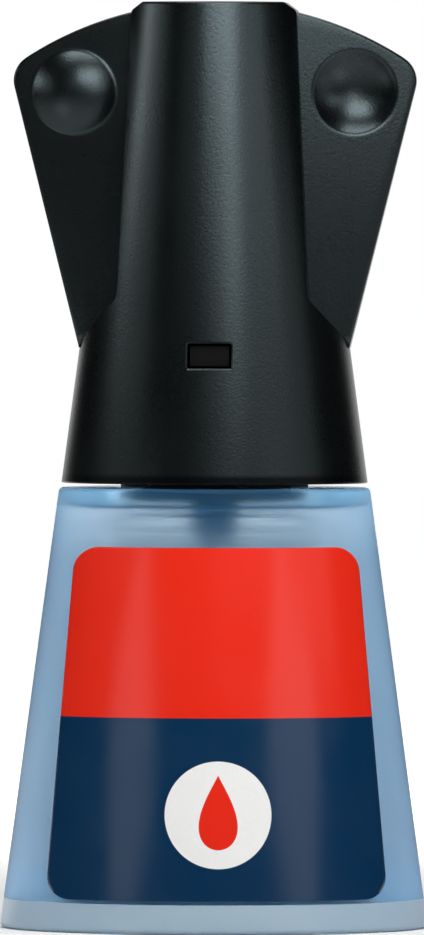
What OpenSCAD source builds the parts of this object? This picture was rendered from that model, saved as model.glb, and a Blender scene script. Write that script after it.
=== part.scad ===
// Brush-on super glue bottle: a conical frosted shell on a pale base, an inner bottle that
// holds the glue, and a black winged screw cap that carries the brush.
// Millimetres, +Z up, origin at the middle of the base, label towards -Y, wings along X.

/* [Bottle] */
// Radius of the cone where it would meet the table
foot_r = 17.35; // [17:0.05:18]
// Radius of the cone at the shoulder
shoulder_r = 12.6; // [12.4:0.05:13]
// Height of the shoulder above the table
shoulder_z = 35.7; // [35:0.1:36.5]
// Wall of the outer shell
shell_wall = 1.5; // [1.2:0.1:1.8]
// Height of the pale band of the base
band_h = 2.4; // [2:0.1:3]

/* [Labels] */
// Height of the lower edge of the labels
label_low = 2.7; // [2.6:0.1:4]
// Height of the upper edge of the labels
label_high = 31; // [27:0.5:33]
// Half of a label's width at its lower edge, seen from the front
label_low_w = 13.8; // [12:0.1:14]
// Half of a label's width at its upper edge, seen from the front
label_high_w = 11.4; // [10:0.1:11.6]
// Corner radius of the labels
label_corner = 1.9; // [1:0.1:3]
// Turn of the labels away from the middle of the front
label_turn = 3.6; // [-8:0.1:8]

/* [Reservoir] */
// Outside radius of the inner bottle
reservoir_r = 9.5; // [9:0.1:9.6]
// Wall of the inner bottle
reservoir_wall = 1; // [0.8:0.05:1.2]
// Depth of the glue
glue_depth = 20.8; // [12:0.1:22]

/* [Neck thread] */
// Radius of the neck at the root of its thread
neck_r = 5.55; // [5.5:0.05:5.6]
// Height of the neck above the shoulder
neck_h = 9.7; // [9.5:0.1:10]
// Rise of the cap in one turn
thread_lead = 6; // [5:0.5:6]
// Number of thread starts
thread_starts = 2; // [2:1:2]

/* [Cap] */
// Height of the closed bottle
total_h = 75; // [74:0.5:78]
// Gap between the cap's rim and the shoulder
cap_gap = 0.35; // [0.3:0.05:0.6]
// Radius of the cap at its rim
cap_rim_r = 12.42; // [12.3:0.02:12.6]
// Radius of the cap's cone at the top
cap_top_r = 7.25; // [7.2:0.05:7.6]
// Wall of the cap shell
cap_wall = 1.2; // [1:0.1:1.3]
// Half of the column's width between the wings, at the top
column_top_w = 6.65; // [6.5:0.05:6.8]
// Half of the column's width between the wings, at the hips
column_low_w = 7.73; // [7.6:0.01:7.9]

/* [Wings] */
// Thickness of the wings at their outer edge
wing_edge_t = 1.8; // [1.6:0.1:2.2]
// Angle by which each face of a wing leans, so that the wing thickens towards the column
wing_taper = 7.5; // [5:0.5:9]
// Distance from the axis to the outer top corner, before rounding
wing_reach = 16.67; // [16.2:0.01:17]
// Rounding of the outer top corner
wing_corner = 2.2; // [1.5:0.1:2.6]
// Radius of a finger dish and of the dome behind it
dish_r = 3.4; // [3:0.1:3.6]
// Depth of a finger dish
dish_depth = 1.3; // [0.8:0.1:1.4]

/* [Brush] */
// Radius of the plug under the inner cap, which closes the wiper
plug_r = 2; // [1.9:0.02:2]
// Radius of the brush stem, which is pressed into the plug
stem_r = 1.3; // [1.25:0.05:1.4]
// Height of the bristle tips above the table
tip_z = 6.4; // [6.3:0.1:9]
// Radius of one bristle
bristle_r = 0.1; // [0.08:0.01:0.1]

/* [Hidden] */
$fn = 96;
fillet_steps = 6;
// Gap between pieces that touch
touch = 0.02;
// Gap between pieces that slip together
slip = 0.15;
// Small roundings of edges
fine_edge = 0.2;
edge = 0.4;
// Amount by which a cutter passes the face that it cuts
over = 1;

// Outer shell and base
shell_top_t = 1.5;
shoulder_corner = 0.45;
foot_corner = 0.4;
foot_recess_r = 12.5;
foot_recess_h = 0.7;
spigot_h = 2.6;
spigot_t = 1.2;
neck_hole_r = 7.9;
key_w = 1.3;
key_reach = 8.5;
label_gap = 0.03;
label_t = 0.12;

// Inner bottle and glue
cradle_z = 4.2;
cradle_in_r = 5.6;
cradle_out_r = 7;
fence_in_r = reservoir_r + slip;
fence_t = 0.9;
fence_z = 6.5;
reservoir_foot_corner = 1;
reservoir_head = 0.6;
reservoir_shoulder_z = shoulder_z - shell_top_t - reservoir_head;
reservoir_shoulder_corner = 2.2;
key_root_z = reservoir_shoulder_z - 0.6;
neck_bore_r = 4.3;
lip_z = shoulder_z + neck_h;
reservoir_floor_z = cradle_z + touch + reservoir_wall;
glue_gap = 0.05;
glue_top_z = reservoir_floor_z + glue_depth;
glue_hollow_r = 2.3;
glue_hollow_drop = 0.3;

// Thread
thread_step = 15;
thread_turn = 270;
cap_thread_turn = 225;
thread_crest_r = 6.4;
cap_bore_r = 6.6;
cap_crest_r = 5.85;
thread_root_w = 1.5;
thread_crest_w = 0.7;
thread_sink = 0.4;
thread_low_z = shoulder_z + 2.7;
cap_thread_drop = 1.25;

// Wiper and liner
wiper_flange_r = 5.3;
wiper_flange_h = 0.6;
wiper_r = neck_bore_r - touch;
wiper_h = 7.4;
wiper_bore_r = 3.3;
wiper_hole_r = plug_r + slip;
wiper_lip_h = 0.8;
wiper_cone_h = 1.6;
wiper_lead_in = 0.7;
liner_gap = 0.05;
liner_z = lip_z + wiper_flange_h + liner_gap;
liner_h = 0.9;
liner_in_r = plug_r + 2 * liner_gap;
liner_out_r = 5.6;

// Inner cap
inner_cap_r = neck_hole_r - 2 * slip;
skirt_dip = 1.3;
inner_cap_z = shoulder_z - skirt_dip;
inner_cap_roof = liner_z + liner_h + 2 * liner_gap;
inner_cap_roof_t = 1.3;
inner_cap_top = inner_cap_roof + inner_cap_roof_t;
boss_r = 3.2;
boss_h = 5.6;
boss_draft = 0.15;
boss_roof = 1;
plug_low_z = shoulder_z - 3.1;
plug_taper = 0.8;
plug_end_t = 0.35;

// Cap shell
rim_z = shoulder_z + cap_gap;
rim_corner = 0.12;
top_chamfer = [0.95, 0.7];
hip_z = rim_z + 15.05;
hip_drop = 1.14;
hip_corner = 0.9;
outline_w = 14;
column_wall = 1.35;
cavity_corner = 0.95;
cavity_knee_z = hip_z - 4.5;
cavity_hip_z = hip_z - 0.7;
cavity_hip_r = column_low_w - column_wall;
cavity_top_r = column_top_w - column_wall;
cavity_top_z = total_h - 1.6;
rib_t = 0.9;
rib_in_r = inner_cap_r + slip;
rib_low = rim_z + 1.5;
rib_high = cavity_knee_z - fine_edge;
rib_count = 6;
window_w = 3.56;
window_h = 2.03;
window_z = rim_z + 10.35;
lug_gap = 0.2;
lug_recess = 0.95;
lug_reach = cap_r(window_z) - lug_recess;

// Wings
wing_arc_r = 28.4;
wing_arc_z = total_h - wing_arc_r;
wing_foot = [10.72, rim_z + 9.9];
wing_root_x = 4;
wing_root_a = acos(wing_root_x / wing_arc_r);
wing_corner_a = acos(wing_reach / wing_arc_r);
wing_arc_steps = 7;
dish_x = 11.37;
dish_z = total_h - 7.3;
dish_ball_r = (dish_r * dish_r + dish_depth * dish_depth) / (2 * dish_depth);

// Brush
stem_top_z = inner_cap_top + boss_h - boss_roof - slip;
stem_low_z = tip_z + 8.6;
tuft_bore_r = 0.85;
tuft_bore_top = stem_low_z + 4.8;
staple = [1.9, 0.25, 1.3];
staple_z = stem_low_z + 2.6;
fold_z = staple_z + staple.z;
bristle_pitch = 0.22;
bristle_rows = [[0.26, 3], [0.48, 2], [0.7, 1]];
bristle_splay = 1.9;
bristle_sides = 6;
fold_steps = 6;

// Radius of the bottle's cone at a height
function shell_r(z) = foot_r + (shoulder_r - foot_r) * z / shoulder_z;

// Radius of the cap's cone at a height
function cap_r(z) = cap_rim_r + (cap_top_r - cap_rim_r) * (z - rim_z) / (total_h - rim_z);

// Half of the column's width at a height
function column_w(z) =
  column_top_w + (column_low_w - column_top_w) * (total_h - z) / (total_h - hip_z);

// Half of a wing's thickness at a distance from the axis
function wing_half_t(x) = wing_edge_t / 2 + (wing_reach - x) * tan(wing_taper);

// Half of a label's width at a height, seen from the front
function label_w(z) =
  label_low_w + (label_high_w - label_low_w) * (z - label_low) / (label_high - label_low);

function unit(v) = v / norm(v);

function flat(corner) = [corner.x, corner.y];

// The arc that rounds one corner, from the edge along u to the edge along v
function fillet(corner, u, v, r) =
  let (
    half = acos(u * v) / 2,
    centre = corner + unit(u + v) * r / sin(half),
    from = corner + u * r / tan(half) - centre,
    to = corner + v * r / tan(half) - centre,
    start = atan2(from.y, from.x),
    sweep = (atan2(to.y, to.x) - start + 540) % 360 - 180
  )
  [for (i = [0 : fillet_steps])
    let (a = start + sweep * i / fillet_steps)
    centre + r * [cos(a), sin(a)]];

// An outline from corners given as [x, y, radius]
function rounded(corners) =
  let (count = len(corners))
  [for (i = [0 : count - 1])
    let (
      here = flat(corners[i]),
      u = unit(flat(corners[(i + count - 1) % count]) - here),
      v = unit(flat(corners[(i + 1) % count]) - here)
    )
    each corners[i][2] == 0 ? [here] : fillet(here, u, v, corners[i][2])];

// Corners of the right half, followed by their mirror images
function both_sides(corners) =
  concat(corners, [for (i = [len(corners) - 1 : -1 : 0]) [-corners[i].x, corners[i].y, corners[i][2]]]);

// A solid of revolution from corners [radius, height, rounding]
module turned(corners) {
  rotate_extrude() polygon(rounded(corners));
}

// A slab parallel to the front, from corners [x, height, rounding]
module slab(corners, thickness) {
  rotate([90, 0, 0])
    linear_extrude(thickness, center = true)
      polygon(rounded(corners));
}

// A tube along a path in planes across Z, for the bristles
module tube(path, r, sides) {
  count = len(path);
  rings = [for (i = [0 : count - 1])
    let (
      ahead = unit(path[min(i + 1, count - 1)] - path[max(i - 1, 0)]),
      side = [1, 0, 0],
      up = unit(cross(ahead, side)),
      across = cross(up, ahead)
    )
    for (k = [0 : sides - 1])
      path[i] + r * (cos(360 * k / sides) * across + sin(360 * k / sides) * up)];
  walls = [for (i = [0 : count - 2]) for (k = [0 : sides - 1])
    let (a = i * sides + k, b = i * sides + (k + 1) % sides)
    [a, a + sides, b + sides, b]];
  ends = [
    [for (k = [0 : sides - 1]) k],
    [for (k = [sides - 1 : -1 : 0]) (count - 1) * sides + k]
  ];
  polyhedron(rings, concat(walls, ends), convexity = 4);
}

// One start of a thread: a ridge that climbs as it turns and sinks into the wall at its ends.
// root_r lies inside the wall, face_r is the wall's face, crest_r is the top of the ridge.
module thread_ridge(root_r, face_r, crest_r, turn) {
  steps = turn / thread_step;
  root_w = thread_root_w / 2;
  crest_w = thread_crest_w / 2;
  end_r = face_r + (root_r - face_r) / 4;
  points = [for (i = [0 : steps])
    let (
      a = turn * i / steps,
      z = thread_lead * a / 360,
      top_r = end_r + (crest_r - end_r) * min(1, i / 2, (steps - i) / 2)
    )
    for (p = [[root_r, -root_w], [top_r, -crest_w], [top_r, crest_w], [root_r, root_w]])
      [p.x * cos(a), p.x * sin(a), z + p.y]];
  walls = [for (i = [0 : steps - 1]) for (k = [0 : 3])
    let (a = i * 4 + k, b = i * 4 + (k + 1) % 4)
    each [[a, b + 4, a + 4], [a, b, b + 4]]];
  last = steps * 4;
  ends = [[2, 1, 0], [3, 2, 0], [last, last + 1, last + 2], [last, last + 2, last + 3]];
  outward = concat(walls, ends);
  inward = [for (face = outward) [face[2], face[1], face[0]]];
  polyhedron(points, crest_r > face_r ? outward : inward, convexity = 6);
}

module thread(root_r, face_r, crest_r, turn, z) {
  for (i = [0 : thread_starts - 1])
    translate([0, 0, z])
      rotate(360 * i / thread_starts)
        thread_ridge(root_r, face_r, crest_r, turn);
}

// Two keys that stop the inner bottle from turning in the shell
module keys(width, low, high, reach) {
  translate([-reach, -width / 2, low])
    cube([2 * reach, width, high - low]);
}

module outer_shell() {
  inside_z = shoulder_z - shell_top_t;
  color("#7fa6cc")
  difference() {
    turned([
      [shell_r(band_h) - shell_wall, band_h + touch, 0],
      [shell_r(band_h), band_h + touch, 0],
      [shoulder_r, shoulder_z, shoulder_corner],
      [neck_hole_r, shoulder_z, 0],
      [neck_hole_r, inside_z, 0],
      [shell_r(inside_z) - shell_wall, inside_z, edge]
    ]);
    keys(key_w + slip, inside_z - over, shoulder_z + over, key_reach + slip);
  }
}

module base_plate() {
  spigot_z = band_h + spigot_h;
  spigot_gap = shell_wall + 2 * touch;
  color("#a8bccb")
  turned([
    [0, foot_recess_h, 0],
    [foot_recess_r, foot_recess_h, 0],
    [foot_recess_r + foot_recess_h, 0, 0],
    [foot_r, 0, foot_corner],
    [shell_r(band_h), band_h, 0],
    [shell_r(band_h) - spigot_gap, band_h, 0],
    [shell_r(spigot_z) - spigot_gap, spigot_z, 0],
    [shell_r(spigot_z) - spigot_gap - spigot_t, spigot_z, 0],
    [shell_r(band_h) - spigot_gap - spigot_t, band_h, 0],
    [fence_in_r + fence_t, band_h, 0],
    [fence_in_r + fence_t, fence_z, 0],
    [fence_in_r, fence_z, 0],
    [fence_in_r, band_h, 0],
    [cradle_out_r, band_h, 0],
    [cradle_out_r, cradle_z, 0],
    [cradle_in_r, cradle_z, 0],
    [cradle_in_r, band_h, 0],
    [0, band_h, 0]
  ]);
}

module inner_bottle() {
  inside_r = reservoir_r - reservoir_wall;
  inside_top = reservoir_shoulder_z - reservoir_wall;
  color("#e4e6e0")
  union() {
    turned([
      [0, cradle_z + touch, 0],
      [reservoir_r, cradle_z + touch, reservoir_foot_corner],
      [reservoir_r, reservoir_shoulder_z, reservoir_shoulder_corner],
      [neck_r, reservoir_shoulder_z, edge],
      [neck_r, lip_z, fine_edge],
      [neck_bore_r, lip_z, 0],
      [neck_bore_r, inside_top, 0],
      [inside_r, inside_top, reservoir_shoulder_corner - reservoir_wall],
      [inside_r, reservoir_floor_z, 0],
      [0, reservoir_floor_z, 0]
    ]);
    thread(neck_r - thread_sink, neck_r, thread_crest_r, thread_turn, thread_low_z);
    difference() {
      keys(key_w, key_root_z, shoulder_z - touch, key_reach);
      cylinder(r = inner_cap_r + slip, h = 3 * shoulder_z, center = true);
    }
  }
}

module neck_wiper() {
  low = lip_z - wiper_h;
  color("#f2f1ea")
  turned([
    [wiper_flange_r, lip_z + touch, 0],
    [wiper_flange_r, lip_z + wiper_flange_h, fine_edge],
    [wiper_bore_r + edge, lip_z + wiper_flange_h, 0],
    [wiper_bore_r, lip_z, 0],
    [wiper_bore_r, low + wiper_lip_h + wiper_cone_h, 0],
    [wiper_hole_r, low + wiper_lip_h, 0],
    [wiper_hole_r, low, 0],
    [wiper_r - wiper_lead_in, low, 0],
    [wiper_r, low + wiper_lead_in, 0],
    [wiper_r, lip_z + touch, 0]
  ]);
}

module glue_fill() {
  inside_r = reservoir_r - reservoir_wall - glue_gap;
  color("#dfe9ef")
  difference() {
    translate([0, 0, reservoir_floor_z + glue_gap])
      cylinder(r = inside_r, h = glue_depth);
    translate([0, 0, tip_z - glue_hollow_drop])
      cylinder(r = glue_hollow_r, h = glue_top_z);
  }
}

// A label wrapped round the cone, with its middle at an angle from the front
module label(turn) {
  rotate(turn)
  intersection() {
    turned([
      [shell_r(label_low) + label_gap, label_low, 0],
      [shell_r(label_low) + label_gap + label_t, label_low, 0],
      [shell_r(label_high) + label_gap + label_t, label_high, 0],
      [shell_r(label_high) + label_gap, label_high, 0]
    ]);
    translate([0, -foot_r, 0])
      slab(both_sides([
        [label_w(label_low), label_low, label_corner],
        [label_w(label_high), label_high, label_corner]
      ]), foot_r + over);
  }
}

module front_label() {
  color("#cf2f28") label(label_turn);
}

module rear_label() {
  color("#123f63") label(label_turn + 180);
}

module seal_liner() {
  color("#dcdcd4")
  translate([0, 0, liner_z])
    difference() {
      cylinder(r = liner_out_r, h = liner_h);
      translate([0, 0, -over]) cylinder(r = liner_in_r, h = liner_h + 2 * over);
    }
}

// The cone of the cap, cut away on both sides above the hips
module cap_body() {
  hip_low_z = hip_z - (outline_w - column_low_w) * hip_drop;
  chamfer_z = total_h - top_chamfer.y;
  intersection() {
    turned([
      [0, rim_z, 0],
      [cap_rim_r, rim_z, rim_corner],
      [cap_top_r, total_h, fine_edge],
      [0, total_h, 0]
    ]);
    slab(both_sides([
      [outline_w, rim_z - over, 0],
      [outline_w, hip_low_z, 0],
      [column_low_w, hip_z, hip_corner],
      [column_w(chamfer_z), chamfer_z, edge],
      [column_top_w - top_chamfer.x, total_h, fine_edge]
    ]), 2 * outline_w);
  }
}

// The right wing, with a dome on its back
module wing() {
  arc = [for (i = [0 : wing_arc_steps - 1])
    let (a = wing_root_a + (wing_corner_a - wing_root_a) * i / wing_arc_steps)
    [wing_arc_r * cos(a), wing_arc_z + wing_arc_r * sin(a), 0]];
  corner = [wing_reach, wing_arc_z + wing_arc_r * sin(wing_corner_a), wing_corner];
  foot = [wing_foot.x, wing_foot.y, 0];
  root = [wing_root_x, wing_foot.y, 0];
  intersection() {
    slab(concat(arc, [corner, foot, root]), outline_w);
    linear_extrude(total_h)
      polygon([
        [wing_root_x, -wing_half_t(wing_root_x)],
        [wing_reach, -wing_half_t(wing_reach)],
        [wing_reach, wing_half_t(wing_reach)],
        [wing_root_x, wing_half_t(wing_root_x)]
      ]);
  }
  intersection() {
    dish_ball(1, dish_depth - dish_ball_r);
    translate([dish_x - dish_r - over, 0, dish_z - dish_r - over])
      cube([2 * (dish_r + over), outline_w, 2 * (dish_r + over)]);
  }
}

// The ball of a dish or dome, at a distance outside the right wing's front (-1) or back (1) face
module dish_ball(side, out) {
  translate([dish_x, side * wing_half_t(dish_x), dish_z])
    rotate(-side * wing_taper)
      translate([0, side * out, 0])
        sphere(r = dish_ball_r);
}

// The hollow inside the cap, closed by the inner cap
module cap_cavity() {
  turned([
    [0, rim_z - over, 0],
    [cap_r(rim_z - over) - cap_wall, rim_z - over, 0],
    [cap_r(cavity_knee_z) - cap_wall, cavity_knee_z, 0],
    [cavity_hip_r, cavity_hip_z, 0],
    [cavity_top_r, cavity_top_z, cavity_corner],
    [0, cavity_top_z, 0]
  ]);
}

// A rib that centres the inner cap
module cap_rib() {
  slab([
    [rib_in_r, rib_low, 0],
    [cap_r(rib_low) - cap_wall / 2, rib_low, 0],
    [cap_r(rib_high) - cap_wall / 2, rib_high, 0],
    [rib_in_r, rib_high, 0]
  ], rib_t);
}

module cap_shell() {
  color("#1b1f22")
  union() {
    difference() {
      union() {
        cap_body();
        for (turn = [0, 180]) rotate(turn) wing();
      }
      cap_cavity();
      for (turn = [0, 180])
        rotate(turn) dish_ball(-1, dish_ball_r - dish_depth);
      translate([0, 0, window_z])
        cube([window_w, 3 * outline_w, window_h], center = true);
    }
    for (i = [0 : rib_count - 1]) rotate(360 * i / rib_count) cap_rib();
  }
}

module inner_cap() {
  lug_w = window_w - 2 * lug_gap;
  lug_h = window_h - 2 * lug_gap;
  boss_top = inner_cap_top + boss_h;
  stem_bore_r = stem_r + touch;
  color("#15181a")
  union() {
    turned([
      [cap_bore_r, inner_cap_z, 0],
      [inner_cap_r, inner_cap_z, fine_edge],
      [inner_cap_r, inner_cap_top, edge],
      [boss_r, inner_cap_top, 0],
      [boss_r - boss_draft, boss_top, edge],
      [0, boss_top, 0],
      [0, boss_top - boss_roof, 0],
      [stem_bore_r, boss_top - boss_roof, 0],
      [stem_bore_r, plug_low_z - plug_taper, 0],
      [stem_bore_r + plug_end_t, plug_low_z - plug_taper, 0],
      [plug_r, plug_low_z, 0],
      [plug_r, inner_cap_roof, 0],
      [cap_bore_r, inner_cap_roof, 0]
    ]);
    thread(cap_bore_r + thread_sink, cap_bore_r, cap_crest_r, cap_thread_turn,
      thread_low_z - cap_thread_drop);
    difference() {
      translate([-lug_w / 2, -lug_reach, window_z - lug_h / 2])
        cube([lug_w, 2 * lug_reach, lug_h]);
      cylinder(r = (cap_bore_r + inner_cap_r) / 2, h = 3 * total_h, center = true);
    }
  }
}

module brush_stem() {
  color("#d8d8d0")
  difference() {
    turned([
      [0, stem_low_z, 0],
      [stem_r, stem_low_z, fine_edge],
      [stem_r, stem_top_z, fine_edge],
      [0, stem_top_z, 0]
    ]);
    translate([0, 0, stem_low_z - over])
      cylinder(r = tuft_bore_r, h = tuft_bore_top - stem_low_z + over);
    translate([-staple.x / 2 - touch, -staple.y / 2 - touch, stem_low_z - over])
      cube([staple.x + 2 * touch, staple.y + 2 * touch, fold_z + touch - stem_low_z + over]);
  }
}

// One bristle, folded in half over the staple
module bristle(x, y) {
  leg = [[bristle_splay * x, bristle_splay * y, tip_z], [x, y, stem_low_z]];
  fold = [for (i = [0 : fold_steps])
    let (a = 180 * i / fold_steps)
    [x, y * cos(a), fold_z + y * sin(a)]];
  back = [for (i = [1 : -1 : 0]) [leg[i].x, -leg[i].y, leg[i].z]];
  tube(concat(leg, fold, back), bristle_r, bristle_sides);
}

module bristle_tuft() {
  color("#d9d4c4")
  for (row = bristle_rows)
    for (i = [-row[1] : row[1]])
      bristle(i * bristle_pitch, row[0]);
}

module tuft_staple() {
  color("#c9a24a")
  translate([-staple.x / 2, -staple.y / 2, staple_z])
    cube(staple);
}

outer_shell();
base_plate();
inner_bottle();
neck_wiper();
glue_fill();
front_label();
rear_label();
seal_liner();
cap_shell();
inner_cap();
brush_stem();
bristle_tuft();
tuft_staple();
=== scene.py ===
import math
import random

import bmesh
import bpy
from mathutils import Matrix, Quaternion, Vector


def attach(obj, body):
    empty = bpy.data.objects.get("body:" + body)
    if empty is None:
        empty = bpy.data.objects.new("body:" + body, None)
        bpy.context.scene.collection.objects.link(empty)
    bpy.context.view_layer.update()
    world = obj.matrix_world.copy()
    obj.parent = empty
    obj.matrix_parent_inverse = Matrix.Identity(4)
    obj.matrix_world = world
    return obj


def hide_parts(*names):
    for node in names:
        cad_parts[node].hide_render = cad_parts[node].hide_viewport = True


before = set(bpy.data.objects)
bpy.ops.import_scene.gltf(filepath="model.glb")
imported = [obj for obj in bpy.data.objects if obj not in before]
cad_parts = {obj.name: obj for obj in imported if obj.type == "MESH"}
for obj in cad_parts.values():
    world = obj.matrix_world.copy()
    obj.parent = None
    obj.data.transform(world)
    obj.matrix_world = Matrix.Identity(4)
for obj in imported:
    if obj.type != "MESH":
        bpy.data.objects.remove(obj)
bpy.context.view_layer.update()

# Lengths are millimetres until a mesh is made, and repeat the values of the solids.
# Heights are above the floor, and the front faces -Y.
MM = 0.001
FULL_TURN = 2 * math.pi

# Meshes
ROUND_STEPS = 192
TINY = 1e-6
WELD, BOOLEAN_WELD = 1e-8, 1e-7  # metres
SHARP, THIN_SHARP = 32, 60  # degrees from which an edge stays sharp

# Outer shell
FOOT_R, SHOULDER_R, SHOULDER_Z = 17.35, 12.6, 35.7
CONE_LEAN = (SHOULDER_R - FOOT_R) / SHOULDER_Z
SHELL_WALL, SHELL_TOP = 1.5, 1.5
SEAM_EDGE, LIP_EDGE, SHOULDER_EDGE, UNDER_TOP_EDGE = 0.05, 0.15, 0.45, 0.4
NECK_HOLE_R, KEY_W, KEY_REACH = 7.9, 1.3, 8.5
KEY_CLEAR = 0.012  # radians kept free beside a keyway's corners
TOUCH, SLIP = 0.02, 0.15

# Base
BAND_H = 2.4
PIP_R, PIP_FOOT_R, PIP_Z, PIP_EDGE = 0.9, 1.2, 0.5, 0.15
UNDER_R, UNDER_Z, UNDER_EDGE = 12.5, 0.7, 0.3
FOOT_IN_R, FOOT_IN_EDGE, FOOT_EDGE = 13.2, 0.25, 0.4
SPIGOT_H, SPIGOT_WALL, LEDGE_EDGE = 2.6, 1.2, 0.1
FENCE = (10.55, 9.65, 6.5)  # outer radius, inner radius, top
CRADLE = (7.0, 5.6, 4.2)
CREST, ROOT = 0.2, 0.3  # rounded edges of the walls that stand on the base

# Labels
LABEL_LOW, LABEL_HIGH = 2.7, 31.0
LABEL_LOW_W, LABEL_HIGH_W = 13.8, 11.4  # half of the width across the front
LABEL_CORNER, LABEL_TURN = 1.9, math.radians(3.6)
LABEL_GAP, LABEL_T = 0.03, 0.12
LABEL_ROWS, LABEL_COLUMNS = 60, 72
PRINT_SPLIT, PRINT_EDGE = 17.35, 0.02
SPECK_SIZE, SPECK_RANGE, SPECK_SHARE, FILM_BLEND = 0.08, (0.35, 0.65), 0.05, 0.01
BADGE_R, BADGE_Z = 4.3, 9.6
DROP_R, DROP_TIP, FRONT_DROP_Z, REAR_DROP_Z = 2.0, 4.1, 8.8, 9.6
DROP_WIDTH, DROP_POWER, DROP_INSET = 2.2, 1.15, 0.04

# Glue
GLUE_R, GLUE_LOW, GLUE_TOP, GLUE_EDGE = 8.45, 5.27, 26.07, 0.3
GLUE_HOLLOW_R, GLUE_HOLLOW_Z, GLUE_HOLLOW_EDGE = 2.3, 6.1, 0.5
WALL_CLIMB_W, WALL_CLIMB_H, WALL_CLIMB_POWER = 1.6, 0.7, 2.4
STEM_CLIMB_W, STEM_CLIMB_H, STEM_CLIMB_POWER = 1.2, 0.45, 2.2
WALL_CLIMB_N, STEM_CLIMB_N = 10, 8

# Cap
TOTAL_H, RIM_Z = 75.0, 36.05
CAP_RIM_R, CAP_TOP_R, CAP_WALL = 12.42, 7.25, 1.2
CAP_LEAN = (CAP_TOP_R - CAP_RIM_R) / (TOTAL_H - RIM_Z)
COLUMN_TOP_W, COLUMN_LOW_W, COLUMN_EDGE = 6.65, 7.73, 0.35
HIP_Z, HIP_DROP, HIP_CORNER, HIP_END_W = 51.1, 1.14, 0.9, 14.0
HIP_ABOVE, HIP_BELOW, LAST_CUT_Z, CIRCLE_BELOW = 0.6, 0.7, 47.65, 0.2
TOP_CHAMFER, TOP_CHAMFER_EDGE, TOP_EDGE = (0.95, 0.7), 0.4, 0.2
TOP_SHARES = (0.25, 0.5, 0.75, 0.93)  # rings on the flat top
RIM_RUN, RIM_CORNER, RIM_IN_EDGE = (0.04, 1.0), 0.12, 0.15
KNEE_Z, KNEE_CORNER = 46.6, 0.6
CAVITY_HIP, CAVITY_TOP, CAVITY_CORNER = (6.38, 50.4), (5.3, 73.4), 0.95
FLAT_N, EDGE_N, ARC_N = 6, 6, 28  # points along a flat, an edge and an arc of a ring
TOP_EDGE_N, COLUMN_N, SKIRT_N = 6, (14, 14, 12, 10), 8  # rings down the cap
COLUMN_LINE_N, SMALL_CORNER_N = 8, 4
RIB_T, RIB_IN_R, RIB_LOW, RIB_HIGH, RIB_COUNT = 0.9, 7.75, 37.55, 46.4, 6
RIB_EASE, RIB_EASE_CORNER, RIB_CORNER = (0.8, 0.6), 0.3, 0.2
WINDOW_W, WINDOW_H, WINDOW_Z, WINDOW_CORNER = 3.56, 2.03, 46.4, 0.12
WINDOW_RINGS = ((0.3, 0.6), (0.12, 0.0), (0.0, -0.12), (0.0, -3.0))  # growth, lift

# Wings
WING_EDGE_T, WING_TAPER = 1.8, math.radians(7.5)
WING_REACH, WING_CORNER, WING_EDGE = 16.67, 2.2, 0.25
WING_ARC_R, WING_ARC_Z, WING_ARC_N = 28.4, 46.6, 24
WING_ROOT_X, WING_CORNER_CLEAR = 6.0, 1.6
WING_FOOT, WING_HEEL = (11.0, 47.0), (7.06, 50.75)
DISH_X, DISH_Z, DISH_R, DISH_DEPTH, DISH_SOFT = 11.37, 67.7, 3.4, 1.3, 0.16
DISH_FINE_LOW, DISH_FINE_HIGH, DISH_LAST = 3.0, 3.6, 3.75
FACE_SHARES = (0.3, 0.65)
SPOKE_GAP, SPOKE_ROUNDS = math.radians(4), 6
DISH_N, DISH_FINE_N, WING_EDGE_N, WING_CORNER_N = 10, 6, 5, 10

# Brush
STEM_LOW, TIP_Z, TUFT_R, FOLD_Z = 15.0, 6.4, 0.78, 19.6
BRISTLE_COUNT, BRISTLE_SIDES, BRISTLE_SEED = 230, 5, 7
BRISTLE_R, BRISTLE_TIP_SHARE, TUFT_FILL = 0.045, 0.55, 0.92
FAN, FAN_VARY, BEND_VARY = 1.62, 0.1, 0.10
TIP_VARY, TIP_DOME = (0.02, 0.5), 0.5
BRISTLE_PATH = ((FOLD_Z - 1.5, 0.0), (STEM_LOW, 0.0), (11.5, 0.35), (9.0, 0.72))  # height, fan
GOLDEN_ANGLE = math.pi * (3 - math.sqrt(5))

# Materials
NOISE_RANGE, NOISE_SUM_RANGE = (0.3, 0.7), (0.7, 1.3)  # where most of one or two noises lies
UNDER_TOP_BLEND = 1.5  # height over which the shell's wall meets the finish of its top
MILKY = (0.2, 1.2)  # heights above the shoulder between which the neck turns milky
# The lowest part of the rim gets painted shade, which darkens its reflections. The flat top is
# duller.
RIM_PAINTED_SHADE, DULL_TOP = (0.5, 0.85), (0.12, 0.02)  # heights above the rim, depths below the top

# Studio
FLOOR_GREY, FLOOR_RINGS = 0.62, (0.0, 60.0, 400.0, 3500.0)
GLOW_NEAR, GLOW_FAR = 45, 320
WORLD_DIM = 0.004
MIRRORED_BAND, FROSTED_BAND = (0.8, 0.97), (-0.7, 0.1)
CAMERA_AZIMUTH, CAMERA_HEIGHT, CAMERA_DISTANCE = math.radians(2.4), 59.0, 1500.0
CAMERA_ROLL, CAMERA_LENS, CAMERA_CLIP = math.radians(0.11), 712.4, (0.05, 50.0)
CAMERA_AIM_Z, CAMERA_AIM_SIDE = 37.28, -0.21


def shell_r(z):
    return FOOT_R + CONE_LEAN * z


def cap_r(z):
    return CAP_RIM_R + CAP_LEAN * (z - RIM_Z)


def wing_half(x):
    return WING_EDGE_T / 2 + (WING_REACH - x) * math.tan(WING_TAPER)


def spread(low, high, count):
    return [low + (high - low) * i / count for i in range(count + 1)]


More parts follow.
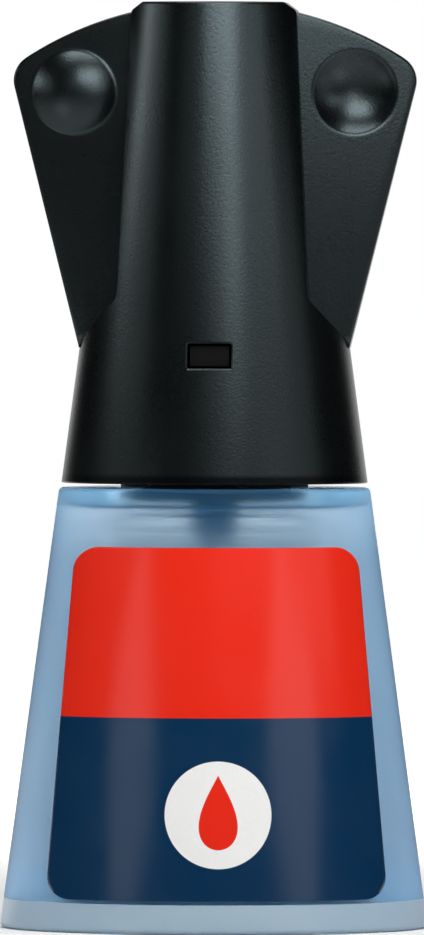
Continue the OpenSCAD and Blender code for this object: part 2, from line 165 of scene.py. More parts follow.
def rounded(corners, steps=6):
    """An outline from corners (x, y, radius), each corner rounded by an arc."""
    outline = []
    for i, (x, y, r) in enumerate(corners):
        here = Vector((x, y))
        if not r:
            outline.append((x, y))
            continue
        u = (Vector(corners[i - 1][:2]) - here).normalized()
        v = (Vector(corners[(i + 1) % len(corners)][:2]) - here).normalized()
        half = u.angle(v) / 2
        centre = here + (u + v).normalized() * (r / math.sin(half))
        a = here + u * (r / math.tan(half)) - centre
        b = here + v * (r / math.tan(half)) - centre
        start = math.atan2(a.y, a.x)
        sweep = (math.atan2(b.y, b.x) - start + 3 * math.pi) % FULL_TURN - math.pi
        outline += [
            (centre.x + r * math.cos(t), centre.y + r * math.sin(t))
            for t in spread(start, start + sweep, steps)
        ]
    return outline


def loft(rings):
    """Vertices and faces through rings of equal length; a ring of one vertex is a pole."""
    verts, index = [], []
    for ring in rings:
        index.append(range(len(verts), len(verts) + len(ring)))
        verts += ring
    count = max(len(ring) for ring in rings)
    faces = []
    for a, b in zip(index, index[1:]):
        for k in range(count):
            after = (k + 1) % count
            corners = [a[k % len(a)], a[after % len(a)], b[after % len(b)], b[k % len(b)]]
            face = list(dict.fromkeys(corners))
            if len(face) > 2:
                faces.append(face)
    return verts, faces


def circle(r, z, angles):
    if r < TINY:
        return [(0, 0, z)]
    return [(r * math.cos(a), r * math.sin(a), z) for a in angles]


ROUND = [FULL_TURN * i / ROUND_STEPS for i in range(ROUND_STEPS)]


def lathe(outline):
    """A solid of revolution from an outline (radius, height) that starts and ends on the axis."""
    return loft([circle(r, z, ROUND) for r, z in outline])


def mesh_from(name, verts, faces, sharp=SHARP):
    """A clean mesh in metres, smooth apart from edges sharper than an angle in degrees."""
    bm = bmesh.new()
    made = [bm.verts.new([c * MM for c in v]) for v in verts]
    for face in faces:
        bm.faces.new([made[i] for i in face])
    bmesh.ops.remove_doubles(bm, verts=bm.verts, dist=WELD)
    bmesh.ops.recalc_face_normals(bm, faces=bm.faces)
    mesh = bpy.data.meshes.new(name)
    bm.to_mesh(mesh)
    bm.free()
    shade(mesh, sharp)
    return mesh


def shade(mesh, sharp):
    mesh.polygons.foreach_set("use_smooth", [True] * len(mesh.polygons))
    mesh.set_sharp_from_angle(angle=math.radians(sharp))
    mesh.update()


def new_object(name, data):
    made = bpy.data.objects.new(name, data)
    bpy.context.scene.collection.objects.link(made)
    return made


def piece(name, mesh, material, body, node):
    """A visible piece that stands for a solid and moves with its body."""
    made = new_object(name, mesh)
    mesh.materials.clear()
    mesh.materials.append(material)
    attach(made, body)
    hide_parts(node)


def combined(name, first, steps):
    """A mesh made from a first mesh by exact unions and differences."""
    base = new_object(name, first)
    tools = []
    for operation, mesh in steps:
        tool = new_object(name + "_tool", mesh)
        tools.append(tool)
        cut = base.modifiers.new("cut", "BOOLEAN")
        cut.operation, cut.object, cut.solver = operation, tool, "EXACT"
    result = base.evaluated_get(bpy.context.evaluated_depsgraph_get())
    mesh = bpy.data.meshes.new_from_object(result)
    for made in [base, *tools]:
        bpy.data.objects.remove(made)
    bm = bmesh.new()
    bm.from_mesh(mesh)
    bmesh.ops.remove_doubles(bm, verts=bm.verts, dist=BOOLEAN_WELD)
    bmesh.ops.dissolve_degenerate(bm, edges=bm.edges, dist=BOOLEAN_WELD)
    bm.to_mesh(mesh)
    bm.free()
    shade(mesh, SHARP)
    return mesh


# Materials

class Nodes:
    """Short names for the nodes of a tree. A value is a number, a colour or another socket."""

    def __init__(self, tree):
        self.tree = tree

    def set(self, socket, value):
        if isinstance(value, bpy.types.NodeSocket):
            self.tree.links.new(value, socket)
        else:
            socket.default_value = value

    def node(self, kind, settings=None, **inputs):
        made = self.tree.nodes.new(kind)
        for key, value in (settings or {}).items():
            setattr(made, key, value)
        for key, value in inputs.items():
            self.set(made.inputs[key.replace("_", " ")], value)
        return made

    def math(self, operation, *values):
        made = self.node("ShaderNodeMath", {"operation": operation})
        for socket, value in zip(made.inputs, values):
            self.set(socket, value)
        return made.outputs[0]

    def ramp(self, value, low, high, to_low=0.0, to_high=1.0, blend="LINEAR"):
        made = self.node("ShaderNodeMapRange", {"interpolation_type": blend}, Value=value)
        for socket, number in zip(made.inputs[1:5], (low, high, to_low, to_high)):
            socket.default_value = number
        return made.outputs[0]


class Paint(Nodes):
    """A material, and the patterns that its finish is made of. Sizes are millimetres."""

    def __init__(self, name):
        self.material = bpy.data.materials.new(name)
        self.material.use_nodes = True
        super().__init__(self.material.node_tree)
        self.place = self.node("ShaderNodeTexCoord").outputs["Object"]

    def finish(self, **inputs):
        shader = self.tree.nodes["Principled BSDF"]
        for key, value in inputs.items():
            self.set(shader.inputs[key.replace("_", " ")], value)

    def axes(self):
        return self.node("ShaderNodeSeparateXYZ", Vector=self.place).outputs

    def hypot(self, a, b):
        squares = self.math("MULTIPLY", a, a), self.math("MULTIPLY", b, b)
        return self.math("SQRT", self.math("ADD", *squares))

    def noise(self, size, detail=3.0, rough=0.5):
        return self.node("ShaderNodeTexNoise", Vector=self.place, Scale=1 / (size * MM),
                         Detail=detail, Roughness=rough).outputs[0]

    def grain(self, size):
        return self.noise(size, rough=0.6)

    def stretch(self, noise, low, high):
        return self.ramp(noise, *NOISE_RANGE, low, high)

    def mix(self, factor, a, b, kind="RGBA"):
        """A mix of two colours, or of two numbers where the kind is FLOAT."""
        made = self.node("ShaderNodeMix", {"data_type": kind})
        first, out = {"RGBA": (6, 2), "FLOAT": (2, 0)}[kind]
        for index, value in ((0, factor), (first, a), (first + 1, b)):
            self.set(made.inputs[index], value)
        return made.outputs[out]

    def two_tone(self, noise, dark, light):
        return self.mix(self.stretch(noise, 0.0, 1.0), dark, light)

    def bump(self, height, depth):
        made = self.node("ShaderNodeBump", Height=height, Strength=1.0, Distance=depth * MM)
        self.finish(Normal=made.outputs[0])


def colour(r, g, b):
    return (r, g, b, 1.0)


RED, NAVY = colour(0.75, 0.022, 0.008), colour(0.0012, 0.026, 0.074)
WHITE, SPECK = colour(0.82, 0.82, 0.81), colour(0.02, 0.02, 0.02)


def moulded(name, dark, light, rough, grain=0.14, grain_depth=0.006, cloud_size=9.0, **more):
    """Moulded plastic: a fine spark-eroded grain, soft clouds of colour, and uneven gloss."""
    p = Paint(name)
    cloud = p.noise(cloud_size)
    fine = p.grain(grain)
    uneven = 0.03
    p.finish(
        Base_Color=p.two_tone(cloud, dark, light),
        Roughness=p.ramp(p.math("ADD", cloud, fine), *NOISE_SUM_RANGE,
                         rough - uneven, rough + uneven),
        **more,
    )
    p.bump(fine, grain_depth)
    return p.material


def above_cone(p, lift):
    """How far, in millimetres, a point lies outside the bottle's cone grown by a lift."""
    x, y, z = p.axes()
    cone = p.math("MULTIPLY_ADD", z, CONE_LEAN, (FOOT_R + lift) * MM)
    return p.math("MULTIPLY", p.math("SUBTRACT", p.hypot(x, y), cone), 1 / MM)


def shell_material():
    """Frosted plastic: satin outside, blasted inside, and bluer the more of it a ray crosses."""
    p = Paint("shell_blue")
    cloud = p.noise(7.0)
    depth, blend = -0.3, 0.1
    inside = p.ramp(above_cone(p, depth), -blend, blend, 1.0, 0.0)
    satin, blasted, under_top = 0.48, 0.55, 0.15
    top_z = SHOULDER_Z - SHELL_TOP
    wall = p.ramp(p.axes()[2], (top_z - UNDER_TOP_BLEND) * MM, top_z * MM, blasted, under_top)
    p.finish(
        Base_Color=p.two_tone(cloud, colour(0.855, 0.90, 0.925), colour(0.885, 0.925, 0.955)),
        Roughness=p.math("ADD", p.mix(inside, satin, wall, "FLOAT"),
                         p.stretch(cloud, -0.03, 0.03)),
        Transmission_Weight=1.0,
        IOR=1.18,
        Sheen_Weight=0.28,
        Sheen_Roughness=1.0,
        Sheen_Tint=colour(0.04, 0.30, 0.64),
    )
    p.bump(p.grain(0.22), 0.006)
    tint = p.node("ShaderNodeVolumeAbsorption", Color=colour(0.06, 0.54, 0.787), Density=75.0)
    p.set(p.tree.nodes["Material Output"].inputs["Volume"], tint.outputs[0])
    return p.material


def natural_material():
    """Natural plastic: clear where the bottle's wall is thin, milky in the thick neck."""
    p = Paint("natural_plastic")
    cloud = p.noise(5.0)
    neck = p.ramp(p.axes()[2], *[(SHOULDER_Z + h) * MM for h in MILKY])
    p.finish(
        Base_Color=p.two_tone(cloud, colour(0.93, 0.94, 0.93), colour(0.97, 0.97, 0.96)),
        Roughness=p.math("ADD", p.ramp(neck, 0.0, 1.0, 0.10, 0.32),
                         p.stretch(cloud, -0.02, 0.02)),
        Transmission_Weight=p.ramp(neck, 0.0, 1.0, 1.0, 0.3),
        Coat_Weight=p.ramp(neck, 0.0, 1.0, 0.0, 0.6),
        Coat_Roughness=0.3,
        IOR=1.06,
    )
    p.bump(p.grain(0.4), 0.003)
    return p.material


def cap_material():
    """Black plastic with a fine grain, duller on the flat top, and with painted shade darkening the
    reflections on the lowest part of the rim.
    """
    p = Paint("cap_black")
    cloud = p.noise(9.0)
    fine = p.grain(0.22)
    z = p.axes()[2]
    # Painted shade: the lowest part of the rim reflects darker, as if it were in shadow.
    rim = p.ramp(z, *[(RIM_Z + h) * MM for h in RIM_PAINTED_SHADE], 1.0, 0.0)
    top = p.ramp(z, *[(TOTAL_H - h) * MM for h in DULL_TOP])
    satin = p.ramp(p.math("ADD", cloud, fine), *NOISE_SUM_RANGE, 0.26, 0.32)
    p.finish(
        Base_Color=p.two_tone(cloud, colour(0.0007, 0.0009, 0.0010),
                              colour(0.0011, 0.0014, 0.0016)),
        Roughness=p.math("ADD", satin, p.math("MULTIPLY", top, 0.25)),
        # Reflections are darkened by painted shade on the lowest part of the rim, and on the dull
        # top.
        Specular_Tint=p.mix(p.math("MAXIMUM", rim, top), colour(0.74, 0.95, 1.0),
                            colour(0.15, 0.19, 0.21)),
        IOR=1.5,
    )
    p.bump(fine, 0.014)
    return p.material


def foam_material():
    p = Paint("liner_foam")
    cell, cell_range = 0.22, (0.1, 0.7)
    cells = p.node("ShaderNodeTexVoronoi", Vector=p.place, Scale=1 / (cell * MM))
    away = cells.outputs["Distance"]
    p.finish(
        Base_Color=p.mix(p.ramp(away, *cell_range), colour(0.60, 0.60, 0.56),
                         colour(0.76, 0.76, 0.72)),
        Roughness=0.85,
    )
    p.bump(away, 0.04)
    return p.material


def bristle_material():
    """Natural fibre, darker towards the tips that stand in the glue."""
    p = Paint("bristle_fibre")
    streak = p.noise(1.2, 2.0)
    damp = p.ramp(p.axes()[2], TIP_Z * MM, STEM_LOW * MM, 1.0, 0.0)
    p.finish(
        Base_Color=p.mix(p.math("MULTIPLY", damp, streak), colour(0.72, 0.68, 0.58),
                         colour(0.52, 0.47, 0.38)),
        Roughness=p.stretch(streak, 0.30, 0.42),
        Transmission_Weight=0.15,
        IOR=1.53,
    )
    return p.material


def brass_material():
    p = Paint("staple_brass")
    drawn = p.noise(0.25)
    p.finish(
        Base_Color=p.two_tone(drawn, colour(0.62, 0.42, 0.14), colour(0.78, 0.57, 0.24)),
        Roughness=p.stretch(drawn, 0.22, 0.38),
        Metallic=1.0,
    )
    p.bump(drawn, 0.004)
    return p.material


def glue_material():
    p = Paint("glue_clear")
    swirl = p.noise(6.0, 2.0)
    p.finish(
        Base_Color=p.two_tone(swirl, colour(0.93, 0.95, 0.96), colour(0.97, 0.98, 0.98)),
        Roughness=p.stretch(swirl, 0.01, 0.04),
        Transmission_Weight=1.0,
        IOR=1.45,
    )
    return p.material


def badge(p, across, up):
    """How far a point is inside a round badge."""
    return p.math("SUBTRACT", BADGE_R, p.hypot(across, up))


def drop(p, across, up):
    """How far a point is inside a drop, which narrows from the round belly to the tip."""
    rise = p.ramp(up, -DROP_R, DROP_TIP)
    taper = p.math("POWER", p.math("SUBTRACT", 1.0, rise), DROP_POWER)
    belly = p.math("MULTIPLY", p.math("SQRT", rise), taper)
    return p.math("SUBTRACT", p.math("MULTIPLY", belly, DROP_WIDTH * DROP_R),
                  p.math("ADD", p.math("ABSOLUTE", across), DROP_INSET))


def print_material(name, rear, marks):
    """A printed film: two fields, and marks (shape, height, ink), laid out round the cone."""
    p = Paint(name)
    x, y, z = p.axes()
    if rear:
        x = p.math("MULTIPLY", x, -1.0)
    else:
        y = p.math("MULTIPLY", y, -1.0)
    up = p.math("MULTIPLY", z, 1 / MM)
    turned = p.math("SUBTRACT", p.math("ARCTAN2", x, y), LABEL_TURN)
    across = p.math("MULTIPLY", turned, p.math("MULTIPLY_ADD", up, CONE_LEAN, FOOT_R))
    field = p.mix(p.ramp(up, PRINT_SPLIT - PRINT_EDGE, PRINT_SPLIT + PRINT_EDGE), NAVY, RED)
    for shape, mark_z, ink in marks:
        inside = shape(p, across, p.math("SUBTRACT", up, mark_z))
        field = p.mix(p.ramp(inside, -PRINT_EDGE, PRINT_EDGE), field, ink)
    specks = p.ramp(p.noise(SPECK_SIZE, 1.0), *SPECK_RANGE, 0.0, SPECK_SHARE)
    inked = p.mix(specks, field, SPECK)
    # The film is white, and shows it on the side that is glued to the shell.
    film = p.ramp(above_cone(p, LABEL_GAP + LABEL_T / 2), -FILM_BLEND, FILM_BLEND, 1.0, 0.0)
    cloud = p.noise(4.0, 2.0)
    p.finish(
        Base_Color=p.mix(film, inked, WHITE),
        Roughness=p.stretch(cloud, 0.20, 0.26),
        IOR=1.48,
    )
    p.bump(cloud, 0.01)
    return p.material


# Bottle

def hole_r(angle):
    """The neck hole of the shell, with a keyway at each side."""
    half = (KEY_W + SLIP) / 2
    reach = KEY_REACH + SLIP
    turned = abs((angle + math.pi / 2) % math.pi - math.pi / 2)
    in_key = turned <= math.atan(half / reach) + TINY
    return reach / math.cos(turned) if in_key else NECK_HOLE_R


def keyed_angles():
    """Angles all round, with the corners of both keyways among them."""
    half = (KEY_W + SLIP) / 2
    stops = [math.atan(half / (KEY_REACH + SLIP)), math.asin(half / NECK_HOLE_R)]
    own = [s * t + m for m in (0, math.pi) for s in (-1, 1) for t in stops]

    def clear(a):
        return min(abs((a - o + math.pi) % FULL_TURN - math.pi) for o in own) > KEY_CLEAR

    return sorted(a % FULL_TURN for a in [a for a in ROUND if clear(a)] + own)


def shell_mesh():
    under_z = SHOULDER_Z - SHELL_TOP
    low = BAND_H + TOUCH
    outline = rounded([
        (shell_r(low) - SHELL_WALL, low, LIP_EDGE),
        (shell_r(low), low, SEAM_EDGE),
        (SHOULDER_R, SHOULDER_Z, SHOULDER_EDGE),
        (NECK_HOLE_R, SHOULDER_Z, 0),
        (NECK_HOLE_R, under_z, 0),
        (shell_r(under_z) - SHELL_WALL, under_z, UNDER_TOP_EDGE),
    ])
    angles = keyed_angles()
    rings = [
        [(hole_r(a) * math.cos(a), hole_r(a) * math.sin(a), z) for a in angles]
        if abs(r - NECK_HOLE_R) < TINY else circle(r, z, angles)
        for r, z in outline
    ]
    return mesh_from("outer_shell_skin", *loft(rings + rings[:1]))


def base_mesh():
    """The base, from the middle of its underside round the foot and back to the axis."""
    gap = SHELL_WALL + 2 * TOUCH
    spigot_z = BAND_H + SPIGOT_H
    corners = [
        (0, PIP_Z, 0),
        (PIP_R, PIP_Z, PIP_EDGE),
        (PIP_FOOT_R, UNDER_Z, PIP_EDGE),
        (UNDER_R, UNDER_Z, UNDER_EDGE),
        (FOOT_IN_R, 0, FOOT_IN_EDGE),
        (FOOT_R, 0, FOOT_EDGE),
        (shell_r(BAND_H), BAND_H, SEAM_EDGE),
        (shell_r(BAND_H) - gap, BAND_H, LEDGE_EDGE),
        (shell_r(spigot_z) - gap, spigot_z, CREST),
        (shell_r(spigot_z) - gap - SPIGOT_WALL, spigot_z, CREST),
        (shell_r(BAND_H) - gap - SPIGOT_WALL, BAND_H, ROOT),
    ]
    for outer, inner, top in (FENCE, CRADLE):
        corners += [
            (outer, BAND_H, ROOT),
            (outer, top, CREST),
            (inner, top, CREST),
            (inner, BAND_H, ROOT),
        ]
    corners.append((0, BAND_H, 0))
    return mesh_from("base_plate_skin", *lathe(rounded(corners)))


def label_mesh(name, turn):
    """A thin film round the cone, with rounded corners."""
    tall = LABEL_HIGH - LABEL_LOW
    outer, inner = [], []
    for t in spread(0, math.pi, LABEL_ROWS):
        z = LABEL_LOW + tall * (1 - math.cos(t)) / 2
        half = LABEL_LOW_W + (LABEL_HIGH_W - LABEL_LOW_W) * (z - LABEL_LOW) / tall
        inset = max(0.0, LABEL_CORNER - min(z - LABEL_LOW, LABEL_HIGH - z))
        half -= LABEL_CORNER - math.sqrt(LABEL_CORNER ** 2 - min(inset, LABEL_CORNER) ** 2)
        for face, lift in ((outer, LABEL_GAP + LABEL_T), (inner, LABEL_GAP)):
            r = shell_r(z) + lift
            reach = math.asin(half / r)
            face += [(r * math.sin(a + turn), -r * math.cos(a + turn), z)
                     for a in spread(-reach, reach, LABEL_COLUMNS)]
    wide = LABEL_COLUMNS + 1
    total = wide * (LABEL_ROWS + 1)
    faces = []
    for start in (0, total):
        for i in range(LABEL_ROWS):
            for k in range(LABEL_COLUMNS):
                a = start + i * wide + k
                faces.append([a, a + 1, a + wide + 1, a + wide])
    rim = list(range(wide))
    rim += [i * wide + LABEL_COLUMNS for i in range(1, LABEL_ROWS + 1)]
    rim += [LABEL_ROWS * wide + k for k in range(LABEL_COLUMNS - 1, -1, -1)]
    rim += [i * wide for i in range(LABEL_ROWS - 1, 0, -1)]
    faces += [[a, b, b + total, a + total] for a, b in zip(rim, rim[1:] + rim[:1])]
    return mesh_from(name, outer + inner, faces, THIN_SHARP)


def glue_mesh():
    """The glue, whose surface climbs a little at the bottle's wall and at the stem."""
    level = GLUE_TOP - WALL_CLIMB_H
    outline = [(0, GLUE_LOW), (GLUE_R - GLUE_EDGE, GLUE_LOW), (GLUE_R, GLUE_LOW + GLUE_EDGE)]
    outline += [
        (GLUE_R - WALL_CLIMB_W * t, GLUE_TOP - WALL_CLIMB_H * (1 - (1 - t) ** WALL_CLIMB_POWER))
        for t in spread(0, 1, WALL_CLIMB_N)
    ]
    outline += [
        (GLUE_HOLLOW_R + STEM_CLIMB_W * (1 - t), level + STEM_CLIMB_H * t ** STEM_CLIMB_POWER)
        for t in spread(0, 1, STEM_CLIMB_N)
    ]
    outline += [
        (GLUE_HOLLOW_R, GLUE_HOLLOW_Z + GLUE_HOLLOW_EDGE),
        (GLUE_HOLLOW_R - GLUE_HOLLOW_EDGE, GLUE_HOLLOW_Z),
        (0, GLUE_HOLLOW_Z),
    ]
    return mesh_from("glue_body", *lathe(outline))


# Cap

def column_line():
    """The side of the cap's column and hip as (height, half-width), from the top down."""
    lean = (COLUMN_LOW_W - COLUMN_TOP_W) / (TOTAL_H - HIP_Z)
    chamfer_in, chamfer_down = TOP_CHAMFER
    outline = rounded([
        (HIP_END_W, HIP_Z - (HIP_END_W - COLUMN_LOW_W) * HIP_DROP, 0),
        (COLUMN_LOW_W, HIP_Z, HIP_CORNER),
        (COLUMN_TOP_W + lean * chamfer_down, TOTAL_H - chamfer_down, TOP_CHAMFER_EDGE),
        (COLUMN_TOP_W - chamfer_in, TOTAL_H, TOP_EDGE),
        (0, TOTAL_H, 0),
    ], COLUMN_LINE_N)
    return [(z, w) for w, z in outline[:-1]][::-1]


def column_w(z, line=column_line()):
    for (za, wa), (zb, wb) in zip(line, line[1:]):
        if za >= z >= zb:
            return wa + (wb - wa) * (za - z) / (za - zb)
    return line[-1][1]


def section(z, r, w):
    """A ring of the cap: a circle cut flat on both sides, with rounded edges."""
    e = COLUMN_EDGE
    y_edge = math.sqrt(max((r - e) ** 2 - (w - e) ** 2, TINY))
    turn = math.atan2(y_edge, w - e)
    quarter = [(w, y_edge * i / FLAT_N) for i in range(FLAT_N)]
    quarter += [(w - e + e * math.cos(t), y_edge + e * math.sin(t))
                for t in spread(0, turn, EDGE_N)[:-1]]
    quarter += [(r * math.cos(t), r * math.sin(t)) for t in spread(turn, math.pi / 2, ARC_N)]
    half = quarter + [(-x, y) for x, y in quarter[-2::-1]]
    ring = half + [(x, -y) for x, y in half[-2:0:-1]]
    return [(x, y, z) for x, y in ring]


def cap_body_mesh():
    """The cap without its wings: the top, the column, the hips, the rim and the cavity."""
    top = []
    for t in spread(math.pi / 2, 0, TOP_EDGE_N):
        z = TOTAL_H - TOP_EDGE * (1 - math.sin(t))
        top.append((z, cap_r(z) - TOP_EDGE * (1 - math.cos(t)), column_w(z)))
    first = section(*top[0])
    rings = [[(0, 0, TOTAL_H)]]
    rings += [[(x * s, y * s, z) for x, y, z in first] for s in TOP_SHARES]
    rings += [section(*row) for row in top]
    stops = [TOTAL_H - TOP_EDGE, TOTAL_H - TOP_CHAMFER[1] - TOP_CHAMFER_EDGE,
             HIP_Z + HIP_ABOVE, HIP_Z - HIP_BELOW, LAST_CUT_Z]
    for high, low, count in zip(stops, stops[1:], COLUMN_N):
        rings += [section(z, cap_r(z), column_w(z)) for z in spread(high, low, count)[1:]]
    # Below the hips the ring is a full circle, with its points at the last cut ring's angles.
    x, y = rings[-1][FLAT_N + EDGE_N][:2]
    start = math.atan2(y, x)
    quarter = spread(0, start, FLAT_N + EDGE_N) + spread(start, math.pi / 2, ARC_N)[1:]
    half = quarter + [math.pi - a for a in quarter[-2::-1]]
    angles = half + [FULL_TURN - a for a in half[-2:0:-1]]
    rings += [circle(cap_r(z), z, angles)
              for z in spread(LAST_CUT_Z - CIRCLE_BELOW, RIM_Z + RIM_CORNER, SKIRT_N)]
    rim = rounded([
        (CAP_RIM_R + RIM_RUN[0], RIM_Z + RIM_RUN[1], 0),
        (CAP_RIM_R, RIM_Z, RIM_CORNER),
        (CAP_RIM_R - CAP_WALL, RIM_Z, RIM_IN_EDGE),
        (cap_r(KNEE_Z) - CAP_WALL, KNEE_Z, KNEE_CORNER),
        (*CAVITY_HIP, KNEE_CORNER),
        (*CAVITY_TOP, CAVITY_CORNER),
        (0, CAVITY_TOP[1], 0),
    ])[1:]
    rings += [circle(r, z, angles) for r, z in rim]
    return mesh_from("cap_body", *loft(rings))


def wing_outline():
    """The right wing as seen from the front: an arc, a round corner, and a root in the cap."""
    ends = [math.acos(x / WING_ARC_R) for x in (WING_ROOT_X, WING_REACH)]
    arc = [(WING_ARC_R * math.cos(a), WING_ARC_Z + WING_ARC_R * math.sin(a))
           for a in spread(*ends, WING_ARC_N)]
    corner = arc.pop()
    trimmed = [(*p, 0) for p in arc if math.dist(p, corner) > WING_CORNER_CLEAR]
    root = [(*WING_FOOT, 0), (*WING_HEEL, 0)]
    return rounded(trimmed + [(*corner, WING_CORNER)] + root, WING_CORNER_N)


def half_planes(outline):
    """The sides of an outline as (outward normal x, outward normal z, offset)."""
    planes = []
    for (xa, za), (xb, zb) in zip(outline, outline[1:] + outline[:1]):
        size = math.hypot(xb - xa, zb - za)
        if size > TINY:
            nx, nz = -(zb - za) / size, (xb - xa) / size
            planes.append((nx, nz, nx * xa + nz * za))
    return planes


def dish_depth(rho):
    """Depth of the finger dish at a distance from its middle, with a softened rim."""
    ball = (DISH_R ** 2 + DISH_DEPTH ** 2) / (2 * DISH_DEPTH)
    depth = math.sqrt(max(ball ** 2 - rho ** 2, 0)) - (ball - DISH_DEPTH)
    blend = max(0.0, DISH_SOFT - abs(depth)) / DISH_SOFT
    return max(depth, 0.0) + blend * blend * DISH_SOFT / 4


def wing_mesh():
    """The right wing in rings round its dish: the front is dished, and the rear is domed."""
    outline = wing_outline()
    planes = half_planes(outline)
    spokes = sorted(math.atan2(z - DISH_Z, x - DISH_X) for x, z in outline)
    for _ in range(SPOKE_ROUNDS):
        gaps = zip(spokes, spokes[1:] + [spokes[0] + FULL_TURN])
        spokes = sorted(spokes + [(a + b) / 2 for a, b in gaps if b - a > SPOKE_GAP])

    def reach(a, inset):
        """The distance from the dish's middle to the outline moved in by an inset."""
        room = []
        for nx, nz, offset in planes:
            along = nx * math.cos(a) + nz * math.sin(a)
            if along > TINY:
                room.append((offset - nx * DISH_X - nz * DISH_Z - inset) / along)
        return min(room)

    def point(side, a, rho, lift):
        """A point on a face of the wing, lifted off it."""
        x, z = DISH_X + rho * math.cos(a), DISH_Z + rho * math.sin(a)
        y = wing_half(x) + math.cos(WING_TAPER) * lift
        return (x + math.sin(WING_TAPER) * lift, side * y, z)

    radii = spread(0, DISH_FINE_LOW, DISH_N)[1:]
    radii += spread(DISH_FINE_LOW, DISH_FINE_HIGH, DISH_FINE_N)[1:] + [DISH_LAST]
    sides = []
    for side in (-1, 1):
        rings = [[point(side, 0, 0, side * dish_depth(0))]]
        rings += [[point(side, a, rho, side * dish_depth(rho)) for a in spokes] for rho in radii]
        for share in FACE_SHARES:
            rings.append([
                point(side, a, DISH_LAST + (reach(a, WING_EDGE) - DISH_LAST) * share, 0)
                for a in spokes
            ])
        for t in spread(0, math.pi / 2, WING_EDGE_N):
            inset, sink = WING_EDGE * (1 - math.sin(t)), WING_EDGE * (1 - math.cos(t))
            rings.append([point(side, a, reach(a, inset), -sink) for a in spokes])
        sides.append(rings)
    return loft(sides[0] + sides[1][::-1])


def capped(rings):
    """A solid through rings, closed by a fan of faces round the middle of each end."""
    middles = [[tuple(sum(v[i] for v in ring) / len(ring) for i in range(3))]
               for ring in (rings[0], rings[-1])]
    return loft([middles[0], *rings, middles[1]])


def window_mesh(side):
    """A cutter for a window, with a small chamfer where it leaves the cone."""
    rings = []
    for grow, lift in WINDOW_RINGS:
        w, h, c = WINDOW_W / 2 + grow, WINDOW_H / 2 + grow, WINDOW_CORNER + grow
        outline = rounded([(w, h, c), (-w, h, c), (-w, -h, c), (w, -h, c)], SMALL_CORNER_N)
        rings.append([
            (x, side * (math.sqrt(cap_r(WINDOW_Z + dz) ** 2 - x ** 2) + lift), WINDOW_Z + dz)
            for x, dz in outline
        ])
    return capped(rings)


def rib_mesh(angle):
    """A rib that centres the inner cap, with its foot eased."""
    ease_out, ease_up = RIB_EASE
    outline = rounded([
        (RIB_IN_R, RIB_LOW + ease_up, RIB_EASE_CORNER),
        (RIB_IN_R + ease_out, RIB_LOW, RIB_CORNER),
        (cap_r(RIB_LOW) - CAP_WALL / 2, RIB_LOW, 0),
        (cap_r(RIB_HIGH) - CAP_WALL / 2, RIB_HIGH, 0),
        (RIB_IN_R, RIB_HIGH, RIB_CORNER),
    ], SMALL_CORNER_N)
    c, s = math.cos(angle), math.sin(angle)
    return capped([[(r * c - y * s, r * s + y * c, z) for r, z in outline]
                   for y in (-RIB_T / 2, RIB_T / 2)])


def cap_mesh():
    verts, faces = wing_mesh()
    turned = [(-x, -y, z) for x, y, z in verts]
    steps = [
        ("UNION", mesh_from("wing_right", verts, faces)),
        ("UNION", mesh_from("wing_left", turned, faces)),
    ]
    steps += [("DIFFERENCE", mesh_from("window", *window_mesh(side))) for side in (-1, 1)]
    steps += [("UNION", mesh_from("rib", *rib_mesh(FULL_TURN * i / RIB_COUNT)))
              for i in range(RIB_COUNT)]
    return combined("cap_shell_skin", cap_body_mesh(), steps)


# Brush

def bristle_mesh():
    """Bristles folded into the stem, fanned out below it and tapered to their tips."""
    draw = random.Random(BRISTLE_SEED)
    verts, faces = [], []
    last = len(BRISTLE_PATH)
    around = [FULL_TURN * k / BRISTLE_SIDES for k in range(BRISTLE_SIDES)]
    for i in range(BRISTLE_COUNT):
        radius = TUFT_R * math.sqrt((i + 0.5) / BRISTLE_COUNT) * TUFT_FILL
        fan = FAN + draw.uniform(-FAN_VARY, FAN_VARY)
        bend = draw.uniform(-BEND_VARY, BEND_VARY)
        tip = TIP_Z + draw.uniform(*TIP_VARY) + TIP_DOME * (radius / TUFT_R) ** 2
        low = len(verts)
        for step, (z, share) in enumerate([*BRISTLE_PATH, (tip, 1.0)]):
            thick = BRISTLE_R * (BRISTLE_TIP_SHARE if step == last else 1.0)
            turn = i * GOLDEN_ANGLE + bend * step / last
            out = radius * (1 + (fan - 1) * share)
            verts += [(out * math.cos(turn) + thick * math.cos(a),
                       out * math.sin(turn) + thick * math.sin(a), z) for a in around]
        for step in range(last):
            for k in range(BRISTLE_SIDES):
                a = low + step * BRISTLE_SIDES + k
                b = low + step * BRISTLE_SIDES + (k + 1) % BRISTLE_SIDES
                faces.append([a, b, b + BRISTLE_SIDES, a + BRISTLE_SIDES])
        for end in (0, last):
            faces.append([low + end * BRISTLE_SIDES + k for k in range(BRISTLE_SIDES)])
    return mesh_from("bristle_fan", verts, faces, THIN_SHARP)


# Pieces that stand for a solid

piece("outer_shell_skin", shell_mesh(), shell_material(), "bottle", "outer_shell")
piece("base_plate_skin", base_mesh(),
      moulded("base_pale", colour(0.58, 0.78, 0.94), colour(0.62, 0.81, 0.96), 0.42, grain=0.25,
              grain_depth=0.010, cloud_size=6.0, IOR=1.45, Transmission_Weight=0.5),
      "bottle", "base_plate")
piece("front_label_film", label_mesh("front_label_film", LABEL_TURN),
      print_material("front_print", False,
                     [(badge, BADGE_Z, WHITE), (drop, FRONT_DROP_Z, RED)]),
      "bottle", "front_label")
piece("rear_label_film", label_mesh("rear_label_film", LABEL_TURN + math.pi),
      print_material("rear_print", True, [(drop, REAR_DROP_Z, WHITE)]),
      "bottle", "rear_label")
piece("glue_body", glue_mesh(), glue_material(), "bottle", "glue_fill")
piece("cap_shell_skin", cap_mesh(), cap_material(), "cap", "cap_shell")
piece("bristle_fan", bristle_mesh(), bristle_material(), "cap", "bristle_tuft")

# Solids that show themselves

